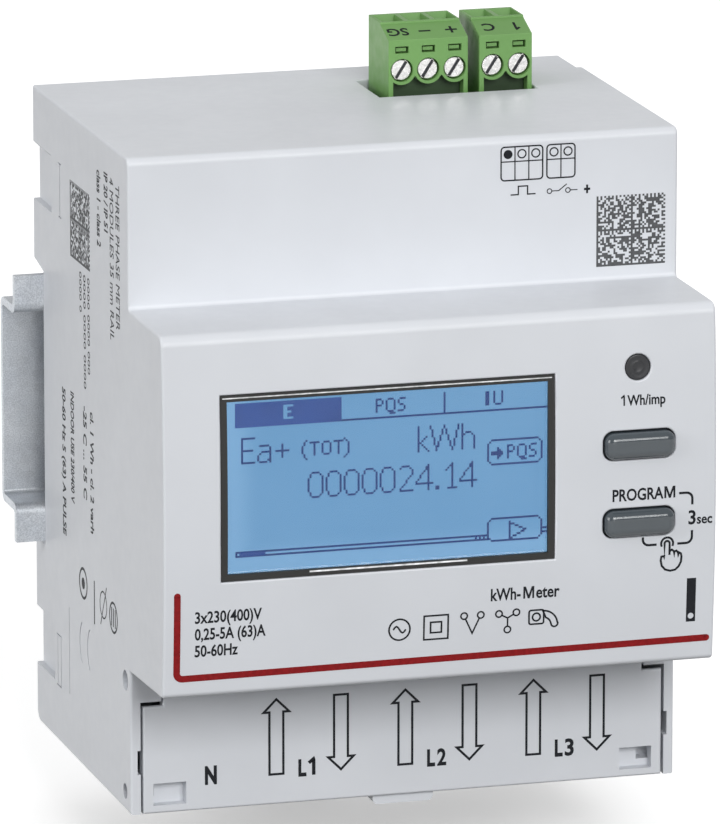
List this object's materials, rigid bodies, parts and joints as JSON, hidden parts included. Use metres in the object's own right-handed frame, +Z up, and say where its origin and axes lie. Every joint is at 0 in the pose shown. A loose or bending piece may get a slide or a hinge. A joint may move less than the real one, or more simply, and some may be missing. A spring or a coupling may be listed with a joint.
{
  "type": "smart electricity meter",
  "caption": "Rail-mounted three-phase smart electricity meter with backlit display, two keys, pulse lamp, hinged terminal cover and plug-in signal terminals.",
  "frame": {"origin": "centre of the seat on the top-hat rail: the plane of the rail's lips, at mid height of the rail and mid width of the meter", "axes": "+Z up, +Y from the meter into the wall, +X to the right seen from the front, along the rail"},
  "size_m": [0.0786, 0.068, 0.0982],
  "materials": {
    "housing": "fine satin moulded polycarbonate, pale cool grey",
    "base": "pale grey moulded plastic",
    "cover": "fine satin moulded polycarbonate, pale cool grey",
    "clip": "dark grey moulded plastic",
    "rail": "galvanised and passivated steel with a fine spangle",
    "spring": "bright spring wire",
    "carrier": "dark grey insulating moulding",
    "cage": "zinc plated steel",
    "screw": "bright plated steel",
    "busbar": "tinned copper strip",
    "core": "dark encapsulated ring core",
    "board": "green solder resist",
    "chip": "black moulded package",
    "transformer": "varnished steel laminations and black bobbin",
    "capacitor": "dark blue sleeve",
    "varistor": "blue epoxy disc",
    "window": "clear pane",
    "lcd": "blue backlit liquid crystal glass",
    "backlight": "milky light guide",
    "bezel": "matt near-black frame",
    "lens": "smoked lens",
    "led": "red diode body",
    "switch": "black key switch",
    "button": "dark slate grey keys",
    "plug": "leaf green moulded plastic",
    "socket": "green moulded plastic",
    "contact": "tin-plated brass"
  },
  "bodies": {
    "housing": {"main_shell": "housing", "base_plate": "base", "terminal_carrier": "carrier", "phase_busbars": "busbar", "neutral_bar": "busbar", "current_transformers": "core", "display_bezel": "bezel", "display_window": "window", "lcd_panel": "lcd", "lcd_backlight": "backlight", "led_lens": "lens", "pulse_led": "led", "display_board": "board", "board_screws": "screw", "tact_switches": "switch", "main_board": "board", "link_board": "board", "board_chips": "chip", "supply_transformer": "transformer", "capacitors": "capacitor", "varistors": "varistor", "header_pins": "contact", "header_3way": "socket", "header_2way": "socket", "clip_spring": "spring"},
    "rail": {"din_rail": "rail"},
    "clip": {"din_clip": "clip"},
    "cover": {"terminal_cover": "cover"},
    "upper_button": {"button_upper": "button"},
    "lower_button": {"button_lower": "button"},
    "plug_three": {"plug_3way": "plug", "plug_contacts_3way": "contact"},
    "plug_two": {"plug_2way": "plug", "plug_contacts_2way": "contact"},
    "screw_1": {"terminal_screw_1": "screw"},
    "cage_1": {"terminal_cage_1": "cage"},
    "screw_2": {"terminal_screw_2": "screw"},
    "cage_2": {"terminal_cage_2": "cage"},
    "screw_3": {"terminal_screw_3": "screw"},
    "cage_3": {"terminal_cage_3": "cage"},
    "screw_4": {"terminal_screw_4": "screw"},
    "cage_4": {"terminal_cage_4": "cage"},
    "screw_5": {"terminal_screw_5": "screw"},
    "cage_5": {"terminal_cage_5": "cage"},
    "screw_6": {"terminal_screw_6": "screw"},
    "cage_6": {"terminal_cage_6": "cage"},
    "screw_7": {"terminal_screw_7": "screw"},
    "cage_7": {"terminal_cage_7": "cage"},
    "plug_screw_1": {"plug_screw_1": "screw"},
    "plug_clamp_1": {"plug_clamp_1": "cage"},
    "plug_screw_2": {"plug_screw_2": "screw"},
    "plug_clamp_2": {"plug_clamp_2": "cage"},
    "plug_screw_3": {"plug_screw_3": "screw"},
    "plug_clamp_3": {"plug_clamp_3": "cage"},
    "plug_screw_4": {"plug_screw_4": "screw"},
    "plug_clamp_4": {"plug_clamp_4": "cage"},
    "plug_screw_5": {"plug_screw_5": "screw"},
    "plug_clamp_5": {"plug_clamp_5": "cage"}
  },
  "joints": [
    {"name": "rail_slide", "type": "slide", "parent": "housing", "child": "rail", "axis": [1, 0, 0], "range_m": [-0.0035, 0.0035]},
    {"name": "clip_pull", "type": "slide", "parent": "housing", "child": "clip", "axis": [0, 0, -1], "range_m": [0, 0.0045], "stiffness_N_per_m": 2500, "springref_m": -0.001, "deforming": ["clip_spring"]},
    {"name": "cover_hinge", "type": "hinge", "parent": "housing", "child": "cover", "pos_m": [0, -0.0403, -0.0256], "axis": [-1, 0, 0], "range_deg": [0, 62]},
    {"name": "upper_button_press", "type": "slide", "parent": "housing", "child": "upper_button", "axis": [0, 1, 0], "range_m": [0, 0.0006], "stiffness_N_per_m": 800},
    {"name": "lower_button_press", "type": "slide", "parent": "housing", "child": "lower_button", "axis": [0, 1, 0], "range_m": [0, 0.0006], "stiffness_N_per_m": 800},
    {"name": "plug_three_pull", "type": "slide", "parent": "housing", "child": "plug_three", "axis": [0, 0, 1], "range_m": [0, 0.008]},
    {"name": "plug_two_pull", "type": "slide", "parent": "housing", "child": "plug_two", "axis": [0, 0, 1], "range_m": [0, 0.008]},
    {"name": "screw_1_turn", "type": "hinge", "parent": "housing", "child": "screw_1", "pos_m": [-0.0252, -0.035, -0.0358], "axis": [0, 1, 0], "range_deg": [0, 1621]},
    {"name": "cage_1_lift", "type": "slide", "parent": "housing", "child": "cage_1", "axis": [0, -1, 0], "range_m": [0, 0.00315]},
    {"name": "screw_2_turn", "type": "hinge", "parent": "housing", "child": "screw_2", "pos_m": [-0.0168, -0.035, -0.0358], "axis": [0, 1, 0], "range_deg": [0, 1621]},
    {"name": "cage_2_lift", "type": "slide", "parent": "housing", "child": "cage_2", "axis": [0, -1, 0], "range_m": [0, 0.00315]},
    {"name": "screw_3_turn", "type": "hinge", "parent": "housing", "child": "screw_3", "pos_m": [-0.0084, -0.035, -0.0358], "axis": [0, 1, 0], "range_deg": [0, 1621]},
    {"name": "cage_3_lift", "type": "slide", "parent": "housing", "child": "cage_3", "axis": [0, -1, 0], "range_m": [0, 0.00315]},
    {"name": "screw_4_turn", "type": "hinge", "parent": "housing", "child": "screw_4", "pos_m": [0, -0.035, -0.0358], "axis": [0, 1, 0], "range_deg": [0, 1621]},
    {"name": "cage_4_lift", "type": "slide", "parent": "housing", "child": "cage_4", "axis": [0, -1, 0], "range_m": [0, 0.00315]},
    {"name": "screw_5_turn", "type": "hinge", "parent": "housing", "child": "screw_5", "pos_m": [0.0084, -0.035, -0.0358], "axis": [0, 1, 0], "range_deg": [0, 1621]},
    {"name": "cage_5_lift", "type": "slide", "parent": "housing", "child": "cage_5", "axis": [0, -1, 0], "range_m": [0, 0.00315]},
    {"name": "screw_6_turn", "type": "hinge", "parent": "housing", "child": "screw_6", "pos_m": [0.0168, -0.035, -0.0358], "axis": [0, 1, 0], "range_deg": [0, 1621]},
    {"name": "cage_6_lift", "type": "slide", "parent": "housing", "child": "cage_6", "axis": [0, -1, 0], "range_m": [0, 0.00315]},
    {"name": "screw_7_turn", "type": "hinge", "parent": "housing", "child": "screw_7", "pos_m": [0.0252, -0.035, -0.0358], "axis": [0, 1, 0], "range_deg": [0, 1621]},
    {"name": "cage_7_lift", "type": "slide", "parent": "housing", "child": "cage_7", "axis": [0, -1, 0], "range_m": [0, 0.00315]},
    {"name": "plug_screw_1_turn", "type": "hinge", "parent": "plug_three", "child": "plug_screw_1", "pos_m": [0.0082, -0.013, 0.04415], "axis": [0, 1, 0], "range_deg": [0, 1081]},
    {"name": "plug_clamp_1_lift", "type": "slide", "parent": "plug_three", "child": "plug_clamp_1", "axis": [0, -1, 0], "range_m": [0, 0.0012]},
    {"name": "plug_screw_2_turn", "type": "hinge", "parent": "plug_three", "child": "plug_screw_2", "pos_m": [0.0117, -0.013, 0.04415], "axis": [0, 1, 0], "range_deg": [0, 1081]},
    {"name": "plug_clamp_2_lift", "type": "slide", "parent": "plug_three", "child": "plug_clamp_2", "axis": [0, -1, 0], "range_m": [0, 0.0012]},
    {"name": "plug_screw_3_turn", "type": "hinge", "parent": "plug_three", "child": "plug_screw_3", "pos_m": [0.0152, -0.013, 0.04415], "axis": [0, 1, 0], "range_deg": [0, 1081]},
    {"name": "plug_clamp_3_lift", "type": "slide", "parent": "plug_three", "child": "plug_clamp_3", "axis": [0, -1, 0], "range_m": [0, 0.0012]},
    {"name": "plug_screw_4_turn", "type": "hinge", "parent": "plug_two", "child": "plug_screw_4", "pos_m": [0.0202, -0.013, 0.04415], "axis": [0, 1, 0], "range_deg": [0, 1081]},
    {"name": "plug_clamp_4_lift", "type": "slide", "parent": "plug_two", "child": "plug_clamp_4", "axis": [0, -1, 0], "range_m": [0, 0.0012]},
    {"name": "plug_screw_5_turn", "type": "hinge", "parent": "plug_two", "child": "plug_screw_5", "pos_m": [0.0237, -0.013, 0.04415], "axis": [0, 1, 0], "range_deg": [0, 1081]},
    {"name": "plug_clamp_5_lift", "type": "slide", "parent": "plug_two", "child": "plug_clamp_5", "axis": [0, -1, 0], "range_m": [0, 0.0012]}
  ],
  "couplings": [
    {"joint": "screw_1_turn", "follows": "cage_1_lift", "rad_per_m": 8976},
    {"joint": "screw_2_turn", "follows": "cage_2_lift", "rad_per_m": 8976},
    {"joint": "screw_3_turn", "follows": "cage_3_lift", "rad_per_m": 8976},
    {"joint": "screw_4_turn", "follows": "cage_4_lift", "rad_per_m": 8976},
    {"joint": "screw_5_turn", "follows": "cage_5_lift", "rad_per_m": 8976},
    {"joint": "screw_6_turn", "follows": "cage_6_lift", "rad_per_m": 8976},
    {"joint": "screw_7_turn", "follows": "cage_7_lift", "rad_per_m": 8976},
    {"joint": "plug_screw_1_turn", "follows": "plug_clamp_1_lift", "rad_per_m": 15708},
    {"joint": "plug_screw_2_turn", "follows": "plug_clamp_2_lift", "rad_per_m": 15708},
    {"joint": "plug_screw_3_turn", "follows": "plug_clamp_3_lift", "rad_per_m": 15708},
    {"joint": "plug_screw_4_turn", "follows": "plug_clamp_4_lift", "rad_per_m": 15708},
    {"joint": "plug_screw_5_turn", "follows": "plug_clamp_5_lift", "rad_per_m": 15708}
  ]
}
